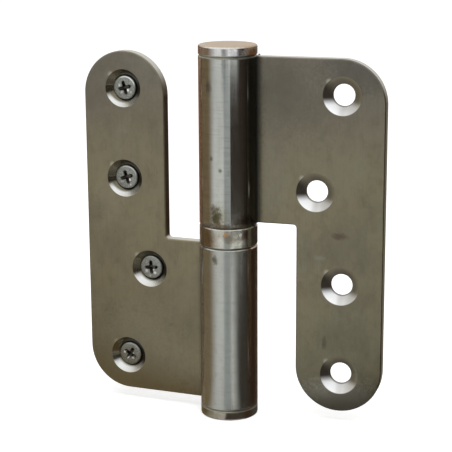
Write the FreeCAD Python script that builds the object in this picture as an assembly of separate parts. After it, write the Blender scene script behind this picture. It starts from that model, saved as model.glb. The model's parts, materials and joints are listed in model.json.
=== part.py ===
import FreeCAD, Part
import math
import os

from FreeCAD import Placement, Rotation, Vector

# A lift-off door hinge, opened flat with its face towards -Y. Millimetres.
# The pin's axis is Z, and z = 0 is the lower edge of both leaves.
# The lower half is on the left and holds the pin; the upper half turns on the pin and lifts off it.

# Leaves: one blank, used as it is for the lower half and turned over for the upper half
leaf_height = 101.6
leaf_reach = 44.8
leaf_thickness = 3.0
leaf_set_back = 0.5
tongue_width = 25.0
corner_radius = 12.5
notch_radius = 1.0
leaf_edge_chamfer = 0.3
opened_past_flat = 4.0

# Knuckles: the leaf's sheet joggled to the back and rolled round to its own front face
knuckle_diameter = 16.6
knuckle_overhang = 0.4
knuckle_chamfer = 0.35
root_bend_radius = 1.5
seam_gap = 0.15

# Countersunk screw holes, placed from the blank's edges and its shelf
hole_line_from_edge = 12.2
hole_stagger = 7.4
low_hole_margin = 10.2
high_hole_margin = 10.8
hole_below_shelf = 9.6
hole_above_shelf = 17.1
hole_diameter = 6.2
countersink_diameter = 11.1

# Pin, pressed into the lower knuckle and free in the upper one, ending short of the top cap's plug
pin_clearance = 0.05
press_bite = 0.01
pin_tip_gap = 6.1
pin_tip_chamfer = 1.5

# End caps, pressed into the knuckles' bores
cap_thickness = 2.8
cap_plug_length = 4.0
cap_edge_radius = 0.5
cap_seam_chamfer = 0.3

# Thrust ball bearing between the knuckles: case with the upper track, balls, lower race
bearing_height = 6.2
bearing_gap = 0.25
bearing_chamfer = 0.5
case_wall = 0.7
case_bore_clearance = 0.1
race_thickness = 1.6
race_clearance = 0.15
ball_diameter = 2.0
ball_count = 16
ball_clearance = 0.03
track_depth = 0.4

# Countersunk cross-slot screws, each a little off the middle of its hole
screw_diameter = 3.5
screw_length = 16.0
screw_head_diameter = 7.0
screw_head_land = 0.4
screw_point_length = 3.0
screw_seat_clearance = 0.05
slot_span = 4.2
slot_width = 1.1
slot_depth = 1.5
slot_taper = 0.7
# for each hole from the lowest up: shift towards the knuckle, shift up, turn of the cross slot in degrees
screw_settings = (
    (-0.10, -0.05, -30.0),
    (-0.19, 0.19, 5.0),
    (-0.18, 0.12, 18.0),
    (-0.12, -0.02, 16.0),
)

# Worked out from the sizes above
knuckle_radius = knuckle_diameter / 2
bore_radius = knuckle_radius - leaf_thickness
shelf_height = (leaf_height - bearing_height) / 2 - knuckle_overhang
lower_knuckle_bottom = -knuckle_overhang
lower_knuckle_top = shelf_height + knuckle_overhang
upper_knuckle_bottom = lower_knuckle_top + bearing_height
upper_knuckle_top = leaf_height + knuckle_overhang
hole_line = leaf_reach - hole_line_from_edge
hole_places = (
    (hole_line, low_hole_margin),
    (hole_line - hole_stagger, shelf_height - hole_below_shelf),
    (hole_line, shelf_height + hole_above_shelf),
    (hole_line, leaf_height - high_hole_margin),
)
same_place = 1e-6
up = Vector(0, 0, 1)
back = Vector(0, 1, 0)
origin = Vector(0, 0, 0)


def polar(centre, radius, degrees):
    """Point in the plane z = 0 at an angle about a centre."""
    turn = math.radians(degrees)
    return centre + Vector(radius * math.cos(turn), radius * math.sin(turn), 0)


def arc(centre, radius, start, end):
    """Arc in the plane z = 0 from one angle to another, in degrees."""
    middle = (start + end) / 2
    points = [polar(centre, radius, degrees) for degrees in (start, middle, end)]
    return Part.Arc(*points).toShape()


def line(start, end):
    return Part.LineSegment(start, end).toShape()


def face_of(edges):
    return Part.Face(Part.Wire(Part.__sortEdges__(edges)))


def revolved(points):
    """Solid of revolution about Z from corners given as (radius, height)."""
    corners = [Vector(radius, 0, height) for radius, height in points]
    outline = Part.makePolygon(corners + corners[:1])
    return Part.Face(outline).revolve(origin, up, 360)


def root_bend():
    """Middle of the joggle's bend, and the angle where the bend meets the roll, seen from the pin."""
    middle_radius = root_bend_radius + leaf_thickness / 2
    roll_radius = knuckle_radius - leaf_thickness / 2
    rise = leaf_set_back + leaf_thickness / 2 + middle_radius
    run = math.sqrt((roll_radius + middle_radius) ** 2 - rise ** 2)
    return Vector(run, rise, 0), math.degrees(math.atan2(rise, run))


def rolled_section():
    """The sheet's section in plan: straight stub, joggle to the back, roll, and the seam at the front."""
    bend, start = root_bend()
    end = 360 + math.degrees(math.asin((leaf_set_back - seam_gap) / knuckle_radius))
    root_front = Vector(bend.x, leaf_set_back, 0)
    root_back = Vector(bend.x, leaf_set_back + leaf_thickness, 0)
    edges = [
        arc(bend, root_bend_radius + leaf_thickness, 270, 180 + start),
        arc(origin, bore_radius, start, end),
        line(polar(origin, bore_radius, end), polar(origin, knuckle_radius, end)),
        arc(origin, knuckle_radius, end, start),
        arc(bend, root_bend_radius, 180 + start, 270),
        line(root_back, root_front),
    ]
    return face_of(edges)


def end_chamfer(height, size, side):
    """Ring that takes the outer corner off a knuckle's end; side is +1 at a top and -1 at a bottom."""
    spare = size
    return revolved([
        (knuckle_radius - size, height),
        (knuckle_radius + spare, height + side * spare),
        (knuckle_radius + spare, height - side * size),
        (knuckle_radius, height - side * size),
    ])


def knuckle():
    """Rolled knuckle of the blank, with its leaf on the +X side."""
    height = lower_knuckle_top - lower_knuckle_bottom
    section = rolled_section()
    section.translate(Vector(0, 0, lower_knuckle_bottom))
    tube = section.extrude(up * height)
    tube = tube.cut(end_chamfer(lower_knuckle_top, knuckle_chamfer, 1))
    return tube.cut(end_chamfer(lower_knuckle_bottom, knuckle_chamfer, -1))


def leaf_outline(root):
    """Front view of the flat part, as (distance from the pin, height), drawn in the plane z = 0."""
    inner = leaf_reach - tongue_width
    tongue_radius = tongue_width / 2
    shoulder = leaf_height - tongue_radius
    notch = Vector(inner - notch_radius, shelf_height + notch_radius, 0)
    foot = Vector(leaf_reach - corner_radius, corner_radius, 0)
    head = Vector(leaf_reach - tongue_radius, shoulder, 0)
    return face_of([
        line(Vector(root, 0, 0), Vector(foot.x, 0, 0)),
        arc(foot, corner_radius, -90, 0),
        line(Vector(leaf_reach, corner_radius, 0), Vector(leaf_reach, shoulder, 0)),
        arc(head, tongue_radius, 0, 180),
        line(Vector(inner, shoulder, 0), Vector(inner, notch.y, 0)),
        arc(notch, notch_radius, 0, -90),
        line(Vector(notch.x, shelf_height, 0), Vector(root, shelf_height, 0)),
        line(Vector(root, shelf_height, 0), Vector(root, 0, 0)),
    ])


def flat_leaf(root):
    """Flat part of the blank, standing up, with its front edges broken."""
    plate = leaf_outline(root).extrude(up * leaf_thickness)
    plate.Placement = Placement(Vector(0, leaf_set_back + leaf_thickness, 0), Rotation(Vector(1, 0, 0), 90))
    front = [
        edge for edge in plate.Edges
        if abs(edge.BoundBox.YMax - leaf_set_back) < same_place and edge.BoundBox.XMax > root + same_place
    ]
    return plate.makeChamfer(leaf_edge_chamfer, front)


def countersink(place):
    """Tool for one screw hole: a through hole and its 90 degree countersink."""
    reach, height = place
    front = Vector(reach, leaf_set_back, height)
    hole = Part.makeCylinder(hole_diameter / 2, 2 * leaf_thickness, front, back)
    depth = countersink_diameter / 2
    proud = leaf_thickness / 2
    cone = Part.makeCone(depth + proud, 0, depth + proud, front - back * proud, back)
    return hole.fuse(cone)


def blank():
    """Leaf and knuckle in one piece, with the leaf on the +X side."""
    bend, _ = root_bend()
    body = flat_leaf(bend.x).fuse(knuckle())
    for place in hole_places:
        body = body.cut(countersink(place))
    return body.removeSplitter()


def to_lower_side(shape):
    """The blank's mirror image across the pin, with its leaf on the -X side."""
    return shape.mirror(origin, Vector(1, 0, 0))


def to_upper_side(shape):
    """A lower part turned over about the middle of the hinge, then swung to where the leaf stands."""
    middle = Vector(0, 0, leaf_height / 2)
    turned = shape.copy()
    turned.rotate(middle, back, 180)
    turned.rotate(origin, up, opened_past_flat)
    return turned


def hinge_pin():
    """Straight pin: pressed in the lower knuckle, a running fit above it, with a chamfered tip."""
    running_radius = bore_radius - pin_clearance
    seat_radius = bore_radius + press_bite
    seat_bottom = lower_knuckle_bottom + cap_plug_length
    tip = upper_knuckle_top - cap_plug_length - pin_tip_gap
    return revolved([
        (0, seat_bottom),
        (seat_radius, seat_bottom),
        (seat_radius, lower_knuckle_top),
        (running_radius, lower_knuckle_top),
        (running_radius, tip - pin_tip_chamfer),
        (running_radius - pin_tip_chamfer, tip),
        (0, tip),
    ])


def end_cap():
    """Cap for the lower knuckle's end: a disc as wide as the knuckle, with a plug in the bore."""
    outer = lower_knuckle_bottom - cap_thickness
    disc = Part.makeCylinder(knuckle_radius, cap_thickness, Vector(0, 0, outer), up)
    rim = [edge for edge in disc.Edges if abs(edge.BoundBox.ZMax - outer) < same_place and edge.Closed]
    disc = disc.makeFillet(cap_edge_radius, rim)
    disc = disc.cut(end_chamfer(lower_knuckle_bottom, cap_seam_chamfer, 1))
    plug_radius = bore_radius + press_bite
    plug = Part.makeCylinder(plug_radius, cap_plug_length, Vector(0, 0, lower_knuckle_bottom), up)
    return disc.fuse(plug).removeSplitter()


def bearing_levels():
    """Heights of the race's top, the balls' middle and the underside of the case's head."""
    race_top = lower_knuckle_top + race_thickness
    ball_middle = race_top + ball_diameter / 2 - track_depth
    head_bottom = ball_middle + ball_diameter / 2 - track_depth
    return race_top, ball_middle, head_bottom


def bearing_radii():
    """Bore of the case and race, the race's outside, and the balls' pitch circle."""
    inner = bore_radius - pin_clearance + case_bore_clearance
    outer = knuckle_radius - case_wall - race_clearance
    return inner, outer, (inner + outer) / 2


def ball_track():
    """Round groove that both tracks share, centred on the balls' pitch circle."""
    _, ball_middle, _ = bearing_levels()
    _, _, pitch = bearing_radii()
    return Part.makeTorus(pitch, ball_diameter / 2 + ball_clearance, Vector(0, 0, ball_middle), up)


def bearing_case():
    """Turned case: a head with the upper track, and a skirt that covers the balls and the race."""
    inner, _, _ = bearing_radii()
    _, _, head_bottom = bearing_levels()
    bottom = lower_knuckle_top + bearing_gap
    top = upper_knuckle_bottom
    skirt_radius = knuckle_radius - case_wall
    edge = bearing_chamfer
    case = revolved([
        (inner, head_bottom),
        (skirt_radius, head_bottom),
        (skirt_radius, bottom),
        (knuckle_radius - edge / 2, bottom),
        (knuckle_radius, bottom + edge / 2),
        (knuckle_radius, top - edge),
        (knuckle_radius - edge, top),
        (inner, top),
    ])
    return case.cut(ball_track())


def bearing_race():
    """Lower race: a flat ring on the lower knuckle's end, with the lower track."""
    inner, outer, _ = bearing_radii()
    race_top, _, _ = bearing_levels()
    ring = revolved([
        (inner, lower_knuckle_top),
        (outer, lower_knuckle_top),
        (outer, race_top),
        (inner, race_top),
    ])
    return ring.cut(ball_track())


def bearing_balls():
    """Full ring of loose balls."""
    _, ball_middle, _ = bearing_levels()
    _, _, pitch = bearing_radii()
    balls = []
    for index in range(ball_count):
        centre = polar(Vector(0, 0, ball_middle), pitch, 360 * index / ball_count)
        balls.append(Part.makeSphere(ball_diameter / 2, centre))
    return Part.makeCompound(balls)


def cross_slot():
    """Cross recess in a head whose face is at z = 0: two wedges that narrow downwards."""
    wedges = []
    for turn in (0, 90):
        mouth = Part.makePolygon([Vector(x, y, 0) for x, y in rectangle(slot_span, slot_width)])
        floor_span = slot_span * (1 - slot_taper)
        floor = [Vector(x, y, -slot_depth) for x, y in rectangle(floor_span, slot_width * slot_taper)]
        wedge = Part.makeLoft([mouth, Part.makePolygon(floor)], True, True)
        wedge.rotate(origin, up, turn)
        wedges.append(wedge)
    return wedges[0].fuse(wedges[1])


def rectangle(span, width):
    """Corners of a closed rectangle about the origin."""
    x = span / 2
    y = width / 2
    return ((x, y), (-x, y), (-x, -y), (x, -y), (x, y))


def wood_screw():
    """One screw with its head's face at z = 0 and its point down."""
    head = screw_head_diameter / 2
    shank = screw_diameter / 2
    cone_end = screw_head_land + head - shank
    body = revolved([
        (0, 0),
        (head - screw_head_land, 0),
        (head, -screw_head_land),
        (shank, -cone_end),
        (shank, screw_point_length - screw_length),
        (0, -screw_length),
    ])
    return body.cut(cross_slot())


def leaf_screws():
    """The four screws that stand in the lower leaf's holes."""
    screws = []
    rim = countersink_diameter / 2
    head = screw_head_diameter / 2
    for (reach, height), (inward, raised, turn) in zip(hole_places, screw_settings):
        off_centre = math.hypot(inward, raised)
        depth = rim - head - screw_head_land - off_centre - screw_seat_clearance
        screw = wood_screw()
        screw.rotate(origin, up, turn)
        screw.rotate(origin, Vector(1, 0, 0), 90)
        screw.translate(Vector(inward - reach, leaf_set_back + depth, height + raised))
        screws.append(screw)
    return Part.makeCompound(screws)


def parts():
    lower_leaf = to_lower_side(blank())
    bottom_cap = end_cap()
    return {
        "lower_leaf": lower_leaf,
        "upper_leaf": to_upper_side(lower_leaf),
        "hinge_pin": hinge_pin(),
        "bottom_cap": bottom_cap,
        "top_cap": to_upper_side(bottom_cap),
        "bearing_case": bearing_case(),
        "bearing_balls": bearing_balls(),
        "bearing_race": bearing_race(),
        "leaf_screws": leaf_screws(),
    }


os.makedirs("parts", exist_ok=True)
for name, shape in parts().items():
    shape.exportStep("parts/" + name + ".step")
    box = shape.BoundBox
    print(name, len(shape.Solids), "solids,", round(shape.Volume, 1), "mm3, valid", shape.isValid())
    print("  ", [round(v, 2) for v in (box.XMin, box.YMin, box.ZMin, box.XMax, box.YMax, box.ZMax)])
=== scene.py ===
import json
import math

import bmesh
import bpy
from mathutils import Matrix, Vector

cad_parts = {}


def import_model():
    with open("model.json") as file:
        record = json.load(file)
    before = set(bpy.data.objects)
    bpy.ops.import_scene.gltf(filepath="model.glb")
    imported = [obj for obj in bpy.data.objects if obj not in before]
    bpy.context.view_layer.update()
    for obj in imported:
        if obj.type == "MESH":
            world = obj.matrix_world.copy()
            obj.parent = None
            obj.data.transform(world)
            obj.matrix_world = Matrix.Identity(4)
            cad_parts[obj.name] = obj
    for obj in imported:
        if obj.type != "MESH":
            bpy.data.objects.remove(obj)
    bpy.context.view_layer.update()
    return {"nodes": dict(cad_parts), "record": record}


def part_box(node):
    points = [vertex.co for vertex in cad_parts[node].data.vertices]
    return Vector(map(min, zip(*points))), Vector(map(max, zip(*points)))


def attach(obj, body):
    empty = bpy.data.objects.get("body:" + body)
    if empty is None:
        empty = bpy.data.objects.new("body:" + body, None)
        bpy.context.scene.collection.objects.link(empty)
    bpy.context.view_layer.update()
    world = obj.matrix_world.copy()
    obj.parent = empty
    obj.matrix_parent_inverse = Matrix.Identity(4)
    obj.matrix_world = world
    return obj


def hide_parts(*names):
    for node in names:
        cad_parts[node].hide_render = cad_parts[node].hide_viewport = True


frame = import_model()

# A lift-off hinge of worn satin stainless steel, opened almost flat. Lengths are in metres, and those of the
# materials in millimetres.
mm = 0.001

# Sizes taken over from the frame
leaf_height = 101.6 * mm
leaf_front = 0.5 * mm
leaf_back = 3.5 * mm
knuckle_radius = 8.3 * mm
countersink_radius = 5.55 * mm
opened_past_flat = math.radians(4.0)
hole_places = ((32.6, 10.2), (25.2, 37.7), (32.6, 64.4), (32.6, 90.8))
floor_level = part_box("bottom_cap")[0].z

# The same in millimetres, for the materials, and the heights of the joints on the knuckles
knuckle_mm = knuckle_radius / mm
bowl_mm = countersink_radius / mm
front_mm = leaf_front / mm
back_mm = leaf_back / mm
leaf_height_mm = leaf_height / mm
lower_joint = 47.8
cap_joint = 102.0
foot_joint = -0.4

# Screws in the lower leaf, from the lowest up: shift towards the knuckle and up in mm, turn of the recess,
# strength of the painted highlight on the rim's upper side, and bright spots on the head, partly bare metal
# and partly painted glints, as (across, up, radius, brightness)
screw_settings = (
    (-0.10, -0.05, -30.0, 0.25,
     ((0.8, 0.0, 0.6, 1.0), (-1.8, 0.3, 0.5, 0.9), (-0.8, -1.5, 0.45, 0.7), (0.9, -1.3, 0.6, 0.6))),
    (-0.10, 0.10, 5.0, 0.15,
     ((0.6, -0.7, 0.6, 0.8), (-1.5, -1.2, 0.75, 0.55), (1.2, -1.6, 0.65, 0.8), (-0.3, -2.5, 0.5, 0.4))),
    (-0.09, 0.06, 18.0, 0.5,
     ((0.9, -0.8, 0.65, 1.0), (1.3, -2.2, 0.5, 0.4), (-1.4, -1.4, 0.5, 0.25))),
    (-0.12, -0.02, 16.0, 1.0,
     ((1.0, -0.7, 0.7, 1.0), (-1.6, 0.6, 0.55, 0.6), (-0.9, -1.4, 0.6, 0.45), (2.0, -1.2, 0.5, 0.35))),
)
screw_length = 16.0 * mm
screw_radius = 1.75 * mm
screw_head_radius = 3.5 * mm
head_rim = 0.4 * mm
rim_angles = (0, 22, 45, 67, 90)
seat_clearance = 0.05 * mm
core_radius = 1.2 * mm
thread_pitch = 1.35 * mm
thread_top = -4.2 * mm
thread_ridge = 0.3
rows_a_turn = 12
point_slope = screw_radius / (3.0 * mm)
point_radius = 0.02 * mm
point_gap = 0.05 * mm

# Cross recess from its floor up: span, width, round of the inner corners and height, in mm
recess_steps = (
    (1.68, 0.55, 0.10, -1.35),
    (3.108, 0.792, 0.18, -0.75),
    (4.0, 0.96, 0.25, -0.12),
    (4.2, 1.1, 0.25, 0.0),
)
arm_points = 15
corner_points = 7
screw_columns = 4 * (arm_points + corner_points)

# Mesh clean-up and edges
weld_distance = 1e-7
flat_angle = math.radians(0.5)
sharp_angle = math.radians(30)
edge_round = 0.06 * mm


class Nodes:
    """Short way to write a node tree: each call adds one node and returns its main output."""

    def __init__(self, tree):
        self.tree = tree
        tree.nodes.clear()

    def add(self, kind, inputs=None, output=0, **settings):
        node = self.tree.nodes.new(kind)
        for name, value in settings.items():
            setattr(node, name, value)
        for key, value in (inputs or {}).items():
            self.connect(node.inputs[key], value)
        return node.outputs[output]

    def connect(self, socket, value):
        if isinstance(value, bpy.types.NodeSocket):
            self.tree.links.new(value, socket)
        else:
            socket.default_value = value

    def math(self, operation, first, second=0.0):
        return self.add("ShaderNodeMath", {0: first, 1: second}, operation=operation)

    def times(self, first, second):
        return self.math("MULTIPLY", first, second)

    def most(self, first, second):
        return self.math("MAXIMUM", first, second)

    def inverse(self, mask):
        return self.math("SUBTRACT", 1.0, mask)

    def vector(self, operation, first, second=(0, 0, 0)):
        return self.add("ShaderNodeVectorMath", {0: first, 1: second}, operation=operation)

    def length(self, vector):
        return self.add("ShaderNodeVectorMath", {0: vector}, output="Value", operation="LENGTH")

    def flat_offset(self, place, centre):
        """Offset from a centre, seen square to the leaf's face."""
        return self.vector("MULTIPLY", self.vector("SUBTRACT", place, centre), (1, 0, 1))

    def smooth(self, value, low, high):
        """0 below low, 1 above high, and a soft step between them; high may lie below low."""
        return self.add("ShaderNodeMapRange", {"Value": value, "From Min": low, "From Max": high},
                        interpolation_type="SMOOTHSTEP")

    def blend(self, amount, first, second):
        """Colour between first and second."""
        return self.add("ShaderNodeMix", {0: amount, 6: first, 7: second}, output=2, data_type="RGBA")

    def tinted(self, colour, mask, amount, tint):
        """Colour with a tint laid over it in the mask."""
        return self.blend(self.times(mask, amount), colour, rgb(*tint))

    def lerp(self, amount, first, second):
        """Number between first and second."""
        return self.add("ShaderNodeMix", {0: amount, 2: first, 3: second}, output=0, data_type="FLOAT")

    def noise(self, place, scale, detail=3.0, roughness=0.5, distortion=0.0):
        return self.add("ShaderNodeTexNoise", {"Vector": place, "Scale": scale, "Detail": detail,
                                               "Roughness": roughness, "Distortion": distortion})

    def pattern(self, place, stretch, detail, roughness, distortion=0.0):
        """Noise stretched by its own scale along each axis."""
        return self.noise(self.vector("MULTIPLY", place, stretch), 1.0, detail, roughness, distortion)

    def bump(self, strength, distance, height):
        return self.add("ShaderNodeBump", {"Strength": strength, "Distance": distance, "Height": height})

    def direction(self, x, y, z):
        return self.add("ShaderNodeCombineXYZ", {"X": x, "Y": y, "Z": z})


def new_material(name):
    material = bpy.data.materials.new(name)
    material.use_nodes = True
    return material, Nodes(material.node_tree)


def finish_material(nodes, shader):
    output = nodes.tree.nodes.new("ShaderNodeOutputMaterial")
    nodes.tree.links.new(shader, output.inputs["Surface"])


def rgb(red, green, blue):
    return (red, green, blue, 1.0)


def steel_shader(nodes, colour, film, roughness, normal, anisotropy, tangent, grazing=(1.0, 1.0, 1.0)):
    """Bare metal, or a dull layer on it where the film is 1."""
    return nodes.add("ShaderNodeBsdfPrincipled", {
        "Base Color": colour, "Metallic": nodes.inverse(film), "Roughness": roughness,
        "Anisotropic": anisotropy, "Specular Tint": rgb(*grazing), "Normal": normal, "Tangent": tangent})


def object_mm(nodes, turned=0.0):
    """Place on the object in millimetres, turned back about Z where the leaf stands at an angle."""
    place = nodes.add("ShaderNodeTexCoord", output="Object")
    place = nodes.vector("SCALE", place)
    place.node.inputs["Scale"].default_value = 1 / mm
    if turned:
        place = nodes.add("ShaderNodeVectorRotate", {"Vector": place, "Angle": -turned}, rotation_type="Z_AXIS")
    return place


def split(nodes, place):
    parts = nodes.add("ShaderNodeSeparateXYZ", {0: place}, output="X").node.outputs
    return parts["X"], parts["Y"], parts["Z"]


def axis_distance(nodes, x, y):
    return nodes.math("SQRT", nodes.math("ADD", nodes.times(x, x), nodes.times(y, y)))


def on_barrel(azimuth, height):
    """Place in millimetres on the knuckle's outside, with azimuth 0 in front and 90 at the right."""
    turn = math.radians(azimuth)
    return (knuckle_mm * math.sin(turn), -knuckle_mm * math.cos(turn), height)


def stain_and_shade(nodes, colour, place, stains_and_shading):
    """Lays ragged marks over a colour, real stains and also bands of painted reflection and painted shade, and
    gives the film that dulls the metal under them.
    """
    ragged = nodes.times(nodes.math("SUBTRACT", nodes.noise(place, 1.3, 4.0, 0.65), 0.5), 1.3)
    film = 0.0
    for centre, half_sizes, tint, strength, dull in stains_and_shading:
        reach = nodes.length(nodes.vector("DIVIDE", nodes.vector("SUBTRACT", place, centre), half_sizes))
        mask = nodes.times(nodes.smooth(nodes.math("ADD", reach, ragged), 1.15, 0.25), strength)
        colour = nodes.blend(mask, colour, rgb(*tint))
        if dull:
            film = nodes.most(nodes.times(mask, dull), film)
    return colour, film


def soiled_and_shaded(nodes, colour, film, seam, x, dull):
    """Grime in a joint, paler on the left and in front; towards the right it turns nearly black, which is
    painted shade.
    """
    tint = nodes.blend(nodes.smooth(x, 1.5, 5.5), rgb(*grime), rgb(*grime_in_shade))
    colour = nodes.blend(nodes.times(seam, 0.85), colour, tint)
    return colour, nodes.most(nodes.times(seam, dull), film)


def joint(nodes, height, levels, half_width):
    """1 at the joints' heights and 0 away from them."""
    mask = 0.0
    for level in levels:
        away = nodes.math("ABSOLUTE", nodes.math("SUBTRACT", height, level))
        mask = nodes.most(nodes.smooth(away, half_width, half_width * 0.4), mask)
    return mask


brown = (0.10, 0.065, 0.035)
olive = (0.085, 0.075, 0.035)
# Soot, also laid on as painted shade in the crease by the knuckle and down the upper knuckle's right side
soot_and_shade = (0.045, 0.04, 0.03)
rust = (0.50, 0.23, 0.05)
pale = (0.36, 0.35, 0.30)
grime = (0.26, 0.255, 0.19)
# Nearly black tint for the right of a joint: painted shade over the grime
grime_in_shade = (0.035, 0.028, 0.015)
# Brown for the knuckles' right edge: painted reflection
rim_reflection_brown = (0.20, 0.09, 0.035)
wash_brown = (0.12, 0.085, 0.045)
dry_olive = (0.18, 0.17, 0.13)

# Stains, and bands of painted reflection and painted shade, each with its centre and half sizes in mm, its
# tint, strength and dullness
lower_stains_and_shading = (
    (on_barrel(-7, 44.6), (1.1, 1.1, 1.6), olive, 0.8, 0.2),
    # Tall bands down the knuckle's sides towards its edges: painted reflection in brown
    (on_barrel(80, 24), (3.6, 3.6, 60.0), (0.30, 0.14, 0.06), 0.8, 0.0),
    (on_barrel(108, 24), (3.0, 3.0, 60.0), rim_reflection_brown, 0.9, 0.4),
    (on_barrel(-60, 24), (3.0, 3.0, 60.0), (0.26, 0.15, 0.085), 0.85, 0.5),
    ((-13.5, 0.5, 20.0), (4.0, 1.5, 6.0), soot_and_shade, 0.12, 0.0),
    ((-38.0, 0.5, 22.0), (6.0, 1.5, 16.0), soot_and_shade, 0.08, 0.0),
    ((-27.0, 0.5, 83.0), (7.0, 1.5, 5.0), (0.19, 0.165, 0.11), 0.3, 0.0),
    ((-42.0, 0.5, 88.0), (6.0, 1.5, 10.0), (0.17, 0.15, 0.125), 0.4, 0.0),
    ((-37.5, 0.5, 59.0), (6.0, 1.5, 8.0), (0.36, 0.33, 0.24), 0.3, 0.0),
    ((-24.0, 0.5, 28.0), (9.0, 1.5, 14.0), (0.22, 0.195, 0.13), 0.35, 0.0),
    ((-32.0, 0.5, 8.0), (22.0, 1.5, 22.0), (0.36, 0.36, 0.28), 0.5, 0.0),
)
upper_stains_and_shading = (
    (on_barrel(-24, 93.7), (1.4, 1.4, 2.4), olive, 0.7, 0.2),
    (on_barrel(-18, 73.7), (0.7, 0.7, 0.9), olive, 0.7, 0.2),
    (on_barrel(1, 70.5), (0.7, 0.7, 0.8), olive, 0.7, 0.2),
    (on_barrel(-4, 57.2), (3.6, 3.6, 4.6), (0.30, 0.28, 0.17), 0.55, 0.0),
    (on_barrel(-8, 57.0), (2.1, 2.1, 3.6), (0.065, 0.056, 0.018), 1.0, 0.5),
    # Dark line at the foot of the knuckle, over the joint to the ring: grime and painted shade in the gap
    ((0.0, 0.0, 54.0), (14.0, 14.0, 1.25), (0.02, 0.014, 0.01), 1.0, 0.4),
    (on_barrel(-13, 59.6), (1.2, 1.2, 1.6), brown, 0.6, 0.2),
    (on_barrel(0, 54.6), (5.0, 5.0, 1.1), wash_brown, 0.7, 0.3),
    (on_barrel(50, 55.5), (4.5, 4.5, 2.6), wash_brown, 0.8, 0.0),
    # Tall bands down the knuckle's sides: painted shade on the right, painted reflection in red-brown at the
    # left edge
    (on_barrel(80, 76), (3.0, 3.0, 60.0), soot_and_shade, 0.5, 0.0),
    (on_barrel(-62, 78), (3.6, 3.6, 60.0), (0.36, 0.19, 0.11), 0.8, 0.0),
    (on_barrel(-61, 78), (2.7, 2.7, 60.0), (0.34, 0.15, 0.07), 0.95, 0.6),
    ((32.3, 0.5, 51.8), (2.7, 1.2, 1.3), brown, 0.9, 0.4),
    ((26.6, 0.5, 45.2), (2.2, 1.0, 0.8), pale, 0.35, 0.0),
    ((28.2, 0.5, 20.2), (0.9, 1.0, 2.4), soot_and_shade, 0.55, 0.0),
    ((13.0, 0.5, 70.0), (5.0, 1.5, 16.0), pale, 0.16, 0.0),
    ((38.0, 0.5, 99.0), (14.0, 1.5, 9.0), (0.07, 0.075, 0.075), 0.4, 0.0),
    ((33.0, 0.5, 3.0), (14.0, 1.5, 8.0), (0.60, 0.60, 0.52), 0.5, 0.0),
    ((15.0, 0.5, 91.0), (15.0, 1.5, 15.0), (0.14, 0.13, 0.10), 0.45, 0.0),
    ((34.0, 0.5, 50.0), (8.0, 1.5, 9.0), dry_olive, 0.35, 0.0),
    ((31.0, 0.5, 22.0), (8.0, 1.5, 8.0), (0.18, 0.17, 0.125), 0.4, 0.0),
    ((32.0, 0.5, 69.0), (9.0, 1.5, 8.0), (0.34, 0.32, 0.23), 0.25, 0.0),
)
top_stains_and_shading = (
    (on_barrel(78, 102.5), (5.2, 5.2, 3.6), (0.14, 0.06, 0.015), 1.0, 0.7),
    # Red-brown at the cap's left edge: painted reflection
    (on_barrel(-56, 102.8), (4.2, 4.2, 3.6), (0.28, 0.12, 0.055), 0.9, 0.5),
    ((0.0, 0.0, 105.0), (40.0, 40.0, 0.5), (0.56, 0.47, 0.35), 1.0, 0.0),
    (on_barrel(70, 105.0), (6.0, 6.0, 1.2), (0.40, 0.27, 0.16), 0.7, 0.0),
)
bottom_stains_and_shading = (
    # Brown at the cap's right and left edges: painted reflection
    (on_barrel(108, -1.8), (3.0, 3.0, 6.0), rim_reflection_brown, 0.9, 0.4),
    (on_barrel(-68, -1.8), (2.6, 2.6, 6.0), (0.13, 0.075, 0.04), 0.9, 0.3),
    (on_barrel(-42, -1.5), (6.0, 6.0, 5.0), (0.22, 0.20, 0.11), 0.75, 0.0),
    (on_barrel(62, -1.5), (2.0, 2.0, 3.0), (0.3, 0.15, 0.07), 0.7, 0.0),
)
ring_stains_and_shading = (
    (on_barrel(15.6, 52.2), (0.9, 0.9, 0.7), rust, 1.0, 0.6),
    (on_barrel(20, 51.0), (2.2, 2.2, 1.6), (0.22, 0.17, 0.10), 0.6, 0.0),
    (on_barrel(54, 51.8), (1.6, 1.6, 1.6), (0.2, 0.12, 0.06), 0.8, 0.0),
    (on_barrel(45, 52.1), (0.7, 0.7, 0.8), (0.75, 0.75, 0.7), 0.8, 0.0),
    (on_barrel(5, 50.0), (1.2, 1.2, 1.8), (0.72, 0.72, 0.66), 0.6, 0.0),
    # Darker brown towards the ring's left edge: painted reflection
    (on_barrel(-36, 50.0), (6.0, 6.0, 5.5), (0.24, 0.17, 0.10), 0.75, 0.0),
    (on_barrel(-58, 50.5), (3.0, 3.0, 5.5), (0.16, 0.085, 0.045), 0.9, 0.5),
)

# Noise patterns on a leaf: scales along the axes, detail, roughness and distortion
leaf_patterns = {
    "fine": ((5.0, 5.0, 0.12), 4.0, 0.6, 0.0),
    "streaks": ((0.9, 0.9, 0.04), 3.0, 0.5, 0.0),
    "blotches": ((0.09, 0.09, 0.06), 3.0, 0.55, 0.4),
    "patches": ((0.5, 0.5, 0.35), 5.0, 0.65, 0.3),
    "clouds": ((0.2, 0.2, 0.16), 4.0, 0.6, 0.6),
    "rings": ((0.12, 0.12, 2.2), 3.0, 0.6, 0.0),
}

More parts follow.
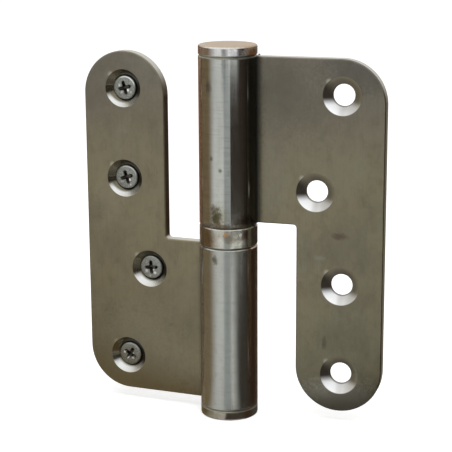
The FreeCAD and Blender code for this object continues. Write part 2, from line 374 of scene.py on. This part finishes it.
# Tones laid over the sheet and over the knuckle: pattern, its two levels, strength and tint
sheet_tones = (
    ("blotches", 0.4, 0.7, 0.4, (0.17, 0.155, 0.12)),
    ("clouds", 0.52, 0.72, 0.3, (0.19, 0.155, 0.10)),
    ("clouds", 0.48, 0.28, 0.3, (0.30, 0.30, 0.22)),
    ("patches", 0.45, 0.75, 0.2, (0.12, 0.105, 0.07)),
    ("patches", 0.5, 0.25, 0.18, (0.3, 0.275, 0.2)),
    ("fine", 0.35, 0.7, 0.1, (0.13, 0.115, 0.08)),
)
barrel_tones = (
    ("streaks", 0.4, 0.75, 0.3, (0.36, 0.35, 0.30)),
    ("patches", 0.5, 0.8, 0.35, (0.27, 0.25, 0.2)),
    ("rings", 0.45, 0.7, 0.3, (0.27, 0.25, 0.2)),
)

# Base tone of the sheet, and how it changes from one height to another in mm, with the tint reached there
sheet_tint = (0.285, 0.256, 0.167)
height_tones = (
    (62, 100, (0.235, 0.214, 0.172)),
    (42, 10, (0.28, 0.256, 0.166)),
    (16, 2, (0.31, 0.285, 0.195)),
)
# Painted light on the sheet's edges that face up
top_edge_light = (0.62, 0.60, 0.53)
glint_tint = (0.55, 0.53, 0.44)


def toned(nodes, colour, patterns, tones):
    for pattern, low, high, amount, tint in tones:
        colour = nodes.tinted(colour, nodes.smooth(patterns[pattern], low, high), amount, tint)
    return colour


def bowl_masks(nodes, place, side):
    """Masks over all countersinks of a leaf: side -1 is the lower leaf with its screws, 1 the upper leaf."""
    masks = {}
    for reach, height in hole_places:
        level = height if side < 0 else leaf_height_mm - height
        offset = nodes.flat_offset(place, (side * reach, 0, level))
        distance = nodes.length(offset)
        across, _, up = split(nodes, offset)
        inside = nodes.smooth(distance, bowl_mm + 0.02, bowl_mm - 0.06)
        # Masks for the painted light in each countersink: lit for the painted reflection below, right for
        # painted shade towards the right
        found = {"right": nodes.smooth(across, -4.0, 4.0)}
        if side < 0:
            head_shift, head_shade = (-0.5, 3.9) if height > 50 else (0.0, 3.7)
            away = nodes.length(nodes.vector("SUBTRACT", offset, (head_shift, 0, 0)))
            clear_of_head = nodes.smooth(away, head_shade, head_shade + 0.7)
            found["lit"] = nodes.times(nodes.smooth(up, -1.0, -3.2), clear_of_head)
        else:
            found["lit"] = nodes.smooth(nodes.math("ADD", up, nodes.times(across, 0.1)), -1.0, -3.2)
            found["open"] = nodes.smooth(nodes.math("ADD", across, nodes.times(up, 0.45)), -4.0, -0.8)
            found["faded"] = nodes.times(found["open"], nodes.smooth(distance, 4.0, 5.5))
            found["streak"] = nodes.smooth(nodes.math("ABSOLUTE", nodes.math("ADD", across, 0.2)), 1.4, 0.2)
            found["lip"] = nodes.smooth(distance, 3.45, 3.15)
        found = {name: nodes.times(inside, mask) for name, mask in found.items()}
        found["cone"] = inside
        found["glint"] = nodes.smooth(nodes.length(nodes.vector("SUBTRACT", offset, (-3.8, 0, 3.9))), 1.2, 0.2)
        for name, mask in found.items():
            masks[name] = nodes.most(mask, masks.get(name, 0.0))
    return masks


def bowl_colour(nodes, masks, side):
    """Colour inside the countersinks, all painted light: a painted reflection as a bright crescent below, and
    painted shade as a dim ring that fades out above it.
    """
    if side < 0:
        bright = nodes.blend(masks["right"], rgb(0.68, 0.69, 0.68), rgb(0.44, 0.42, 0.37))
        dim = nodes.blend(masks["right"], rgb(0.17, 0.155, 0.11), rgb(0.045, 0.036, 0.028))
        return nodes.blend(masks["lit"], dim, bright)
    bright = nodes.blend(masks["right"], rgb(0.93, 0.94, 0.95), rgb(0.62, 0.60, 0.56))
    bright = nodes.tinted(bright, masks["streak"], 0.45, (0.52, 0.52, 0.50))
    dim = nodes.blend(masks["open"], rgb(0.05, 0.04, 0.029), rgb(0.17, 0.15, 0.10))
    dim = nodes.tinted(dim, masks["faded"], 0.8, (0.27, 0.245, 0.165))
    return nodes.tinted(nodes.blend(masks["lit"], dim, bright), masks["lip"], 0.75, (0.07, 0.05, 0.033))


def leaf_steel(name, turned, side, stains_and_shading, joints, knuckle_roughness, barrel_tint, side_edge_shade, edge_film,
               crease_shade, bowl_film):
    """Satin sheet with vertical brushing on the leaf, and a smoother finish on the knuckle."""
    material, nodes = new_material(name)
    place = object_mm(nodes, turned)
    x, y, z = split(nodes, place)
    on_knuckle = nodes.smooth(axis_distance(nodes, x, y), knuckle_mm + 0.4, knuckle_mm + 0.1)
    patterns = {key: nodes.pattern(place, *setting) for key, setting in leaf_patterns.items()}

    colour = rgb(*sheet_tint)
    for start, end, tint in height_tones:
        colour = nodes.blend(nodes.smooth(z, start, end), colour, rgb(*tint))
    colour = toned(nodes, colour, patterns, sheet_tones)
    colour = nodes.blend(on_knuckle, colour, toned(nodes, rgb(*barrel_tint), patterns, barrel_tones))
    colour, film = stain_and_shade(nodes, colour, place, stains_and_shading)
    seam = nodes.times(joint(nodes, z, joints, 0.75), on_knuckle)
    colour, film = soiled_and_shaded(nodes, colour, film, seam, x, 0.5)
    # Darker in the crease where the leaf meets the knuckle: painted shade
    inward = nodes.times(x, side)
    root = nodes.times(nodes.smooth(inward, 5.5, 7.6), nodes.smooth(inward, 10.2, 8.5))
    colour = nodes.tinted(colour, root, crease_shade, soot_and_shade)

    masks = bowl_masks(nodes, place, side)
    glint = nodes.times(masks["glint"], nodes.smooth(y, 1.2, 0.8))
    colour = nodes.tinted(colour, glint, 0.8, glint_tint)
    within = nodes.times(nodes.smooth(y, front_mm + 0.02, front_mm + 0.12),
                         nodes.smooth(y, back_mm - 0.08, back_mm - 0.2))
    on_cone = nodes.times(masks["cone"], within)

    # Edges of the sheet: painted light where they face up, painted shade on the others
    _, face_y, face_z = split(nodes, nodes.add("ShaderNodeTexCoord", output="Normal"))
    on_edge = nodes.smooth(nodes.math("ABSOLUTE", face_y), 0.6, 0.3)
    on_edge = nodes.times(on_edge, nodes.inverse(nodes.most(on_knuckle, masks["cone"])))
    facing_up = nodes.smooth(face_z, 0.1, 0.7)
    colour = nodes.blend(on_edge, colour, nodes.blend(facing_up, rgb(*side_edge_shade), rgb(*top_edge_light)))
    colour = nodes.blend(on_cone, colour, bowl_colour(nodes, masks, side))
    on_side = nodes.times(on_edge, nodes.inverse(facing_up))
    film = nodes.most(nodes.times(on_side, edge_film), film)
    film = nodes.most(nodes.times(on_cone, bowl_film), film)

    smoothness = nodes.lerp(patterns["patches"], knuckle_roughness * 0.6, knuckle_roughness * 1.5)
    roughness = nodes.lerp(on_knuckle, nodes.lerp(patterns["fine"], 0.34, 0.44), smoothness)
    roughness = nodes.lerp(on_cone, roughness, 0.26)
    roughness = nodes.lerp(nodes.most(on_edge, film), roughness, 0.5)

    grain = nodes.math("ADD", patterns["fine"], nodes.times(patterns["streaks"], 0.3))
    normal = nodes.bump(nodes.lerp(nodes.most(on_knuckle, on_cone), 0.25, 0.05), 0.03 * mm, grain)
    tangent = nodes.direction(nodes.inverse(on_knuckle), 0.0, on_knuckle)
    finish_material(nodes, steel_shader(nodes, colour, film, roughness, normal, 0.7, tangent))
    return material


def turned_steel(name, colour, dark, amount, stains_and_shading, joints, roughness, grazing=(1.0, 1.0, 1.0)):
    """Turned steel: fine lines round it, patches of a darker tone, stains with bands of painted reflection and
    painted shade among them, and grime at its joints that turns to painted shade on the right.
    """
    material, nodes = new_material(name)
    place = object_mm(nodes)
    x, _, height = split(nodes, place)
    tone = nodes.pattern(place, (0.7, 0.7, 0.7), 5.0, 0.65)
    lines = nodes.pattern(place, (0.25, 0.25, 7.0), 3.0, 0.5)
    shade = nodes.tinted(rgb(*colour), nodes.smooth(tone, 0.42, 0.72), amount, dark)
    shade = nodes.tinted(shade, nodes.smooth(lines, 0.45, 0.7), 0.2, dark)
    shade, film = stain_and_shade(nodes, shade, place, stains_and_shading)
    shade, film = soiled_and_shaded(nodes, shade, film, joint(nodes, height, joints, 0.5), x, 0.9)
    rough = nodes.lerp(film, nodes.lerp(tone, roughness - 0.05, roughness + 0.1), 0.5)
    normal = nodes.bump(0.08, 0.02 * mm, lines)
    tangent = nodes.direction(0.0, 0.0, 1.0)
    finish_material(nodes, steel_shader(nodes, shade, film, rough, normal, 0.2, tangent, grazing))
    return material


def screw_zinc(name, centre, rim_highlight, glints_and_bare_spots):
    """Dull grainy zinc; the centre is the middle of the head's face. Painted shade lies in the recess, under
    the head and on the rim's right, a painted highlight on the rim's upper side, and bright spots are partly
    bare metal and partly painted glints.
    """
    material, nodes = new_material(name)
    place = object_mm(nodes)
    offset = nodes.vector("SUBTRACT", place, tuple(part / mm for part in centre))
    across, depth, up = split(nodes, offset)
    reach = axis_distance(nodes, across, up)
    grain = nodes.noise(place, 2.6, 5.0, 0.7)
    shade = nodes.blend(nodes.smooth(grain, 0.35, 0.68), rgb(0.37, 0.385, 0.355), rgb(0.17, 0.175, 0.155))
    # Painted shade in the cross recess
    recess_shade = nodes.times(nodes.smooth(depth, 0.05, 0.3), nodes.smooth(reach, 2.3, 2.1))
    shade = nodes.tinted(shade, recess_shade, 0.85, (0.055, 0.045, 0.035))
    # On the rim: painted shade towards its right, and a painted highlight on its upper side
    on_rim = nodes.times(nodes.smooth(reach, 2.95, 3.15), nodes.smooth(depth, 0.35, 0.15))
    shade = nodes.tinted(shade, nodes.times(on_rim, nodes.smooth(across, 1.0, 2.6)), 0.6, (0.16, 0.165, 0.145))
    lean = nodes.math("ADD", nodes.times(across, 0.4), nodes.times(up, 0.9))
    shade = nodes.tinted(shade, nodes.times(on_rim, nodes.smooth(lean, 1.2, 2.9)), rim_highlight, (0.85, 0.87, 0.84))
    ragged = nodes.times(nodes.math("SUBTRACT", grain, 0.5), 0.5)
    # Bright spots on the head: partly bare metal, partly painted glints
    film = 0.0
    for spot_across, spot_up, radius, bright in glints_and_bare_spots:
        away = nodes.length(nodes.flat_offset(offset, (spot_across, 0, spot_up)))
        spot = nodes.smooth(nodes.math("ADD", away, ragged), radius, radius * 0.2)
        film = nodes.most(nodes.times(spot, bright), film)
    film = nodes.times(film, nodes.smooth(depth, 2.2, 1.6))
    shade = nodes.blend(film, shade, rgb(0.93, 0.92, 0.86))
    # Painted shade under the head, down in the countersink
    shade_under_head = nodes.times(nodes.smooth(depth, 0.4, 0.9), nodes.smooth(reach, 2.2, 2.4))
    shade = nodes.tinted(shade, shade_under_head, 0.7, (0.06, 0.05, 0.04))
    rough = nodes.lerp(grain, 0.32, 0.55)
    normal = nodes.bump(0.35, 0.04 * mm, grain)
    tangent = nodes.direction(0.0, 0.0, 1.0)
    finish_material(nodes, steel_shader(nodes, shade, nodes.times(film, 0.7), rough, normal, 0.0, tangent))
    return material


def mesh_object(name, points, faces, material):
    mesh = bpy.data.meshes.new(name)
    mesh.from_pydata(points, [], faces)
    mesh.materials.append(material)
    item = bpy.data.objects.new(name, mesh)
    bpy.context.scene.collection.objects.link(item)
    return item


def mesh_piece(name, points, faces, material):
    item = mesh_object(name, points, faces, material)
    item.data.polygons.foreach_set("use_smooth", [True] * len(item.data.polygons))
    item.data.set_sharp_from_angle(angle=sharp_angle)
    return item


def plain_lists(work):
    """Points and faces of a work mesh, which is then freed."""
    work.verts.index_update()
    points = [vertex.co.copy() for vertex in work.verts]
    faces = [[vertex.index for vertex in face.verts] for face in work.faces]
    work.free()
    return points, faces


def soften(item, edge_radius):
    """Small round on every sharp edge, with flat faces kept flat in their shading."""
    if edge_radius:
        bevel = item.modifiers.new("edges", "BEVEL")
        bevel.width = edge_radius
        bevel.segments = 2
        bevel.limit_method = "ANGLE"
        bevel.angle_limit = sharp_angle
    weighted = item.modifiers.new("shading", "WEIGHTED_NORMAL")
    weighted.keep_sharp = True


def body_of(node):
    bodies = frame["record"]["behaviour"]["bodies"]
    return next(body for body, members in bodies.items() if node in members)


def shown(node, name, material, edge_radius=0.0):
    """Stands for a node: the node's own form, welded, with round faces shaded round and edges softened."""
    work = bmesh.new()
    work.from_mesh(frame["nodes"][node].data)
    bmesh.ops.remove_doubles(work, verts=work.verts, dist=weld_distance)
    bmesh.ops.dissolve_limit(work, angle_limit=flat_angle, verts=work.verts, edges=work.edges)
    points, faces = plain_lists(work)
    item = mesh_piece(name, points, faces, material)
    soften(item, edge_radius)
    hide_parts(node)
    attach(item, body_of(node))
    return item


def dressed(node, name, material, edge_radius=0.0):
    shown(node, name, material, edge_radius)


def lathe(profile, columns, first_column=0):
    """Rings of points round Z from (radius, height) pairs; a radius may also be a function of the angle."""
    points = []
    for radius, height in profile:
        for column in range(columns):
            turn = 2 * math.pi * (column + first_column) / columns
            reach = radius(turn) if callable(radius) else radius
            points.append(Vector((reach * math.cos(turn), reach * math.sin(turn), height)))
    return points


def band(first, second, count):
    """Quads between two rings of points that start at two indices."""
    return [(first + i, first + (i + 1) % count, second + (i + 1) % count, second + i) for i in range(count)]


def cross_outline(span, width, fillet, height):
    """Outline of a cross recess with round arm ends and round inner corners."""
    arm = width / 2
    arm_end = span / 2 - arm
    corner = arm + fillet
    quarter = []
    for step in range(arm_points):
        angle = math.radians(-90 + 180 * step / (arm_points - 1))
        quarter.append(Vector((arm_end + arm * math.cos(angle), arm * math.sin(angle), height)))
    for step in range(corner_points):
        angle = math.radians(270 - 90 * step / (corner_points - 1))
        quarter.append(Vector((corner + fillet * math.cos(angle), corner + fillet * math.sin(angle), height)))
    turns = [Matrix.Rotation(index * math.pi / 2, 3, "Z") for index in range(4)]
    return [turn @ point for turn in turns for point in quarter]


def thread_radius(height):
    """Radius round the screw at one height, as a function of the angle: a helical ridge on the core."""
    def radius(turn):
        phase = (height / thread_pitch + turn / (2 * math.pi)) % 1.0
        ridge = max(0.0, 1 - abs(phase - 0.5) / thread_ridge)
        run_in = min(1.0, max(0.0, (thread_top - height) / thread_pitch))
        crest = min(screw_radius, (height + screw_length) * point_slope)
        core = min(core_radius, (height + screw_length) * point_slope * core_radius / screw_radius)
        plain = screw_radius if run_in == 0 else core
        return max(point_radius, plain + (crest - plain) * ridge * run_in)
    return radius


def screw(name, material, place, turn):
    """Countersunk wood screw: cross recess, rounded rim, cone, smooth neck, thread and point."""
    rim = []
    for degrees in rim_angles:
        angle = math.radians(degrees)
        rim.append((screw_head_radius - head_rim * (1 - math.sin(angle)), -head_rim * (1 - math.cos(angle))))
    neck = [(screw_radius, -head_rim - screw_head_radius + screw_radius), (screw_radius, thread_top)]
    rows = int((screw_length + thread_top) / (thread_pitch / rows_a_turn))
    drop = (screw_length + thread_top - point_gap) / rows
    thread = [(thread_radius(thread_top - drop * row), thread_top - drop * row) for row in range(1, rows + 1)]
    points = [point for step in recess_steps for point in cross_outline(*(size * mm for size in step))]
    points += lathe(rim + neck + thread, screw_columns, -(arm_points // 2))
    rings = len(points) // screw_columns
    faces = [tuple(range(screw_columns)), tuple(range((rings - 1) * screw_columns, rings * screw_columns))]
    for ring in range(rings - 1):
        faces += band(ring * screw_columns, (ring + 1) * screw_columns, screw_columns)

    work = bmesh.new()
    made = [work.verts.new(point) for point in points]
    for face in faces:
        work.faces.new([made[index] for index in face])
    bmesh.ops.recalc_face_normals(work, faces=work.faces)
    facing = Matrix.Rotation(math.pi / 2, 4, "X") @ Matrix.Rotation(turn, 4, "Z")
    work.transform(Matrix.Translation(place) @ facing)
    points, faces = plain_lists(work)
    item = mesh_piece(name, points, faces, material)
    soften(item, 0.0)
    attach(item, "lower_half")
    return item


def leaf_screws():
    seat = countersink_radius - screw_head_radius - head_rim - seat_clearance
    for index, ((reach, height), settings) in enumerate(zip(hole_places, screw_settings), 1):
        inward, raised, turn, rim_highlight, glints_and_bare_spots = settings
        depth = seat - math.hypot(inward, raised) * mm
        place = Vector(((inward - reach) * mm, leaf_front + depth, (height + raised) * mm))
        material = screw_zinc("screw_zinc_%d" % index, place, rim_highlight, glints_and_bare_spots)
        item = screw("leaf_screw_%d" % index, material, place, math.radians(turn))
        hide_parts("leaf_screws")


lower_leaf_steel = leaf_steel(
    "lower_leaf_steel", 0.0, -1, lower_stains_and_shading, (foot_joint,),
    knuckle_roughness=0.20, barrel_tint=(0.46, 0.475, 0.44), side_edge_shade=(0.17, 0.12, 0.075),
    edge_film=0.0, crease_shade=0.35, bowl_film=0.0)
upper_leaf_steel = leaf_steel(
    "upper_leaf_steel", opened_past_flat, 1, upper_stains_and_shading, (cap_joint,),
    knuckle_roughness=0.09, barrel_tint=(0.54, 0.555, 0.52), side_edge_shade=(0.25, 0.21, 0.145),
    edge_film=0.8, crease_shade=0.8, bowl_film=0.65)
top_cap_steel = turned_steel(
    "top_cap_steel", (0.68, 0.68, 0.67), (0.45, 0.40, 0.32), 0.3, top_stains_and_shading, (cap_joint,), 0.09,
    grazing=(0.66, 0.57, 0.46))
bottom_cap_steel = turned_steel(
    "bottom_cap_steel", (0.42, 0.40, 0.34), (0.26, 0.22, 0.15), 0.6, bottom_stains_and_shading, (foot_joint,), 0.15)
ring_steel = turned_steel(
    "ring_steel", (0.52, 0.52, 0.47), (0.30, 0.25, 0.17), 0.6, ring_stains_and_shading, (lower_joint,), 0.10)
pin_steel = turned_steel("pin_steel", (0.6, 0.6, 0.58), (0.5, 0.5, 0.47), 0.5, (), (), 0.2)

dressed("lower_leaf", "lower_leaf_sheet", lower_leaf_steel, edge_round)
dressed("upper_leaf", "upper_leaf_sheet", upper_leaf_steel, edge_round)
dressed("top_cap", "top_cap_turned", top_cap_steel)
dressed("bottom_cap", "bottom_cap_turned", bottom_cap_steel)
dressed("bearing_case", "bearing_case_turned", ring_steel, edge_round)
dressed("bearing_race", "bearing_race_turned", ring_steel)
dressed("bearing_balls", "bearing_ball_set", pin_steel)
dressed("hinge_pin", "hinge_pin_ground", pin_steel, edge_round)
leaf_screws()


# Studio: pale floor, white world, a soft lamp overhead, and cards that only gloss shows
floor_half = 3.0
floor_glow = 0.52
card_lift = 0.3 * mm
card_steps = 24
white = (1.0, 1.0, 1.0)


def from_azimuth(degrees, radius, height):
    """Point round the hinge, seen from the front at azimuth 0 and from the right at 90."""
    turn = math.radians(degrees)
    return Vector((radius * math.sin(turn), -radius * math.cos(turn), height))


def stage_card(name, points, faces, material):
    card = mesh_object(name, points, faces, material)
    card.visible_camera = False
    card.visible_diffuse = False
    card.visible_shadow = False


def plain_card(name, corners, height, colour, strength=1.0):
    material, nodes = new_material(name)
    finish_material(nodes, nodes.add("ShaderNodeEmission", {"Color": rgb(*colour), "Strength": strength}))
    stage_card(name, [(x, y, height) for x, y in corners], [(0, 1, 2, 3)], material)


def faded_card(name, level, start, end, inner, outer, colour, soft_start, soft_end, wall=0.0):
    """Card just above the floor between two azimuths and two radii, with fading sides; it may end in a wall."""
    lift = floor_level + card_lift * (1 + level / 20)
    profile = [(inner, lift), (outer, lift)]
    if wall:
        profile.append((outer, wall))
    points = []
    for index in range(card_steps + 1):
        azimuth = start + (end - start) * index / card_steps
        points += [from_azimuth(azimuth, radius, height) for radius, height in profile]
    row = len(profile)
    faces = [
        (row * i + j, row * (i + 1) + j, row * (i + 1) + j + 1, row * i + j + 1)
        for i in range(card_steps) for j in range(row - 1)
    ]
    material, nodes = new_material(name)
    middle = math.radians((start + end) / 2)
    half = math.radians((end - start) / 2)
    place = nodes.add("ShaderNodeTexCoord", output="Object")
    place = nodes.add("ShaderNodeVectorRotate", {"Vector": place, "Angle": -middle}, rotation_type="Z_AXIS")
    x, y, _ = split(nodes, place)
    azimuth = nodes.math("ARCTAN2", x, nodes.times(y, -1.0))
    cover = nodes.times(nodes.smooth(azimuth, -half, -half + math.radians(soft_start)),
                        nodes.smooth(azimuth, half, half - math.radians(soft_end)))
    glow = nodes.add("ShaderNodeEmission", {"Color": rgb(*colour), "Strength": 1.0})
    clear = nodes.add("ShaderNodeBsdfTransparent")
    finish_material(nodes, nodes.add("ShaderNodeMixShader", {0: cover, 1: clear, 2: glow}))
    stage_card(name, points, faces, material)


def floor():
    material, nodes = new_material("floor_paper")
    camera_ray = nodes.add("ShaderNodeLightPath", output="Is Camera Ray")
    paper = nodes.add("ShaderNodeBsdfDiffuse", {"Color": rgb(0.85, 0.85, 0.85)})
    glow = nodes.add("ShaderNodeEmission", {"Strength": nodes.times(camera_ray, floor_glow)})
    finish_material(nodes, nodes.add("ShaderNodeAddShader", {0: paper, 1: glow}))
    corners = [(x * floor_half, y * floor_half, floor_level) for x, y in ((-1, -1), (1, -1), (1, 1), (-1, 1))]
    plane = mesh_object("floor", corners, [(0, 1, 2, 3)], material)


def lamp(name, place, size, radiance):
    """Square soft lamp that looks at the middle of the hinge; radiance is what a mirror would see in it."""
    data = bpy.data.lights.new(name, "AREA")
    data.shape = "SQUARE"
    data.size = size
    data.energy = radiance * math.pi * size * size
    item = bpy.data.objects.new(name, data)
    bpy.context.scene.collection.objects.link(item)
    item.location = place
    towards = Vector((0, 0, leaf_height / 2)) - Vector(place)
    item.rotation_euler = towards.to_track_quat("-Z", "Y").to_euler()
    item.visible_camera = False
    item.visible_glossy = False


def world():
    """White where the camera or gloss looks, and a plain level of light on everything else."""
    scene_world = bpy.data.worlds.new("studio")
    bpy.context.scene.world = scene_world
    scene_world.use_nodes = True
    nodes = Nodes(scene_world.node_tree)
    path = nodes.add("ShaderNodeLightPath", output="Is Camera Ray").node.outputs
    looked_at = nodes.most(path["Is Camera Ray"], path["Is Glossy Ray"])
    looked_at = nodes.most(looked_at, path["Is Transmission Ray"])
    sky = nodes.add("ShaderNodeBackground", {"Color": rgb(*white), "Strength": nodes.lerp(looked_at, 0.6, 1.0)})
    output = nodes.tree.nodes.new("ShaderNodeOutputWorld")
    nodes.tree.links.new(sky, output.inputs["Surface"])


def camera():
    """The photograph's view: a long lens from the right and a little above."""
    place = Vector((147.225, -382.696, 152.940)) * mm
    target = Vector((-0.789, 0.0, 52.775)) * mm
    roll = math.radians(-0.324)
    forward = (target - place).normalized()
    right = forward.cross(Vector((0, 0, 1))).normalized()
    upward = right.cross(forward)
    rolled_right = right * math.cos(roll) + upward * math.sin(roll)
    rolled_up = upward * math.cos(roll) - right * math.sin(roll)
    data = bpy.data.cameras.new("photo_view")
    data.sensor_width = 36.0
    data.lens = 117.67
    data.clip_start = 0.01
    item = bpy.data.objects.new("photo_view", data)
    bpy.context.scene.collection.objects.link(item)
    axes = Matrix((rolled_right, rolled_up, -forward)).transposed()
    item.matrix_world = Matrix.Translation(place) @ axes.to_4x4()
    bpy.context.scene.camera = item


floor()
world()
lamp("overhead_lamp", (0.1, -0.2, 0.8), 0.7, 2.2)

# Radii on the floor: what lies further out is mirrored higher up, from the foot to the top cap
near, low = 0.0080, 0.0155
ring_low, ring_high = 0.192, 0.22
cap_low, left_light_low, right_light_low, right_light_high = 0.80, 0.85, 0.86, 1.3
far = 1.5
wall_end = far + 0.01

left_brown = (0.23, 0.17, 0.10)
middle_grey = (0.46, 0.48, 0.49)
right_dark = (0.045, 0.034, 0.026)
cap_grey = (0.3, 0.3, 0.32)

# Cards from the lowest up: name, first and last azimuth, inner and outer radius, colour, fade at the first and
# the last side in degrees, and the height of the wall at the outer end where there is one
cards = (
    ("left_lower_card", -178, -20, near, ring_high, (0.28, 0.21, 0.125), 4, 40),
    ("left_upper_card", -178, -30, ring_high, far, left_brown, 4, 34),
    ("left_wall_card", -152, -50, far, wall_end, left_brown, 14, 20, 0.47),
    ("middle_card", -2, 32, low, ring_high, middle_grey, 9, 9),
    ("middle_upper_card", 0, 29, ring_high, cap_low, middle_grey, 9, 0.5),
    ("middle_cap_card", -4, 15, cap_low, far, cap_grey, 5, 5),
    ("cap_left_light", -38, -2, left_light_low, far, (1.05, 1.07, 1.06), 14, 5),
    ("cap_right_light", 18, 60, right_light_low, right_light_high, (1.45, 1.48, 1.52), 7, 7),
    ("middle_wall_card", -4, 15, far, wall_end, cap_grey, 5, 5, 0.10),
    ("foot_card", 8, 205, near, low, (0.1, 0.09, 0.075), 6, 5),
    ("right_lower_card", 30, 205, low, ring_low, (0.065, 0.055, 0.045), 33, 5),
    ("right_ring_card", 70, 205, ring_low, ring_high, right_dark, 30, 5),
    ("ring_light", 30, 80, ring_low, ring_high, (1.5, 1.54, 1.48), 6, 14),
    ("right_upper_card", 28, 205, ring_high, cap_low, right_dark, 2, 5),
    ("right_cap_card", 54, 205, cap_low, far, right_dark, 16, 5),
    ("right_wall_card", 29, 165, far, wall_end, right_dark, 4, 15, 0.5),
)
for level, card in enumerate(cards):
    faded_card(card[0], level, *card[1:])
under_strip = ((-0.045, -0.005), (0.075, -0.005), (0.075, 0.008), (-0.045, 0.008))
plain_card("under_card", under_strip, floor_level + card_lift / 2, (0.06, 0.05, 0.04))
overhead_square = ((-0.9, -1.1), (1.1, -1.1), (1.1, 0.9), (-0.9, 0.9))
plain_card("overhead_card", overhead_square, 1.0, white, 1.25)
camera()
bpy.context.scene.view_settings.view_transform = "Standard"
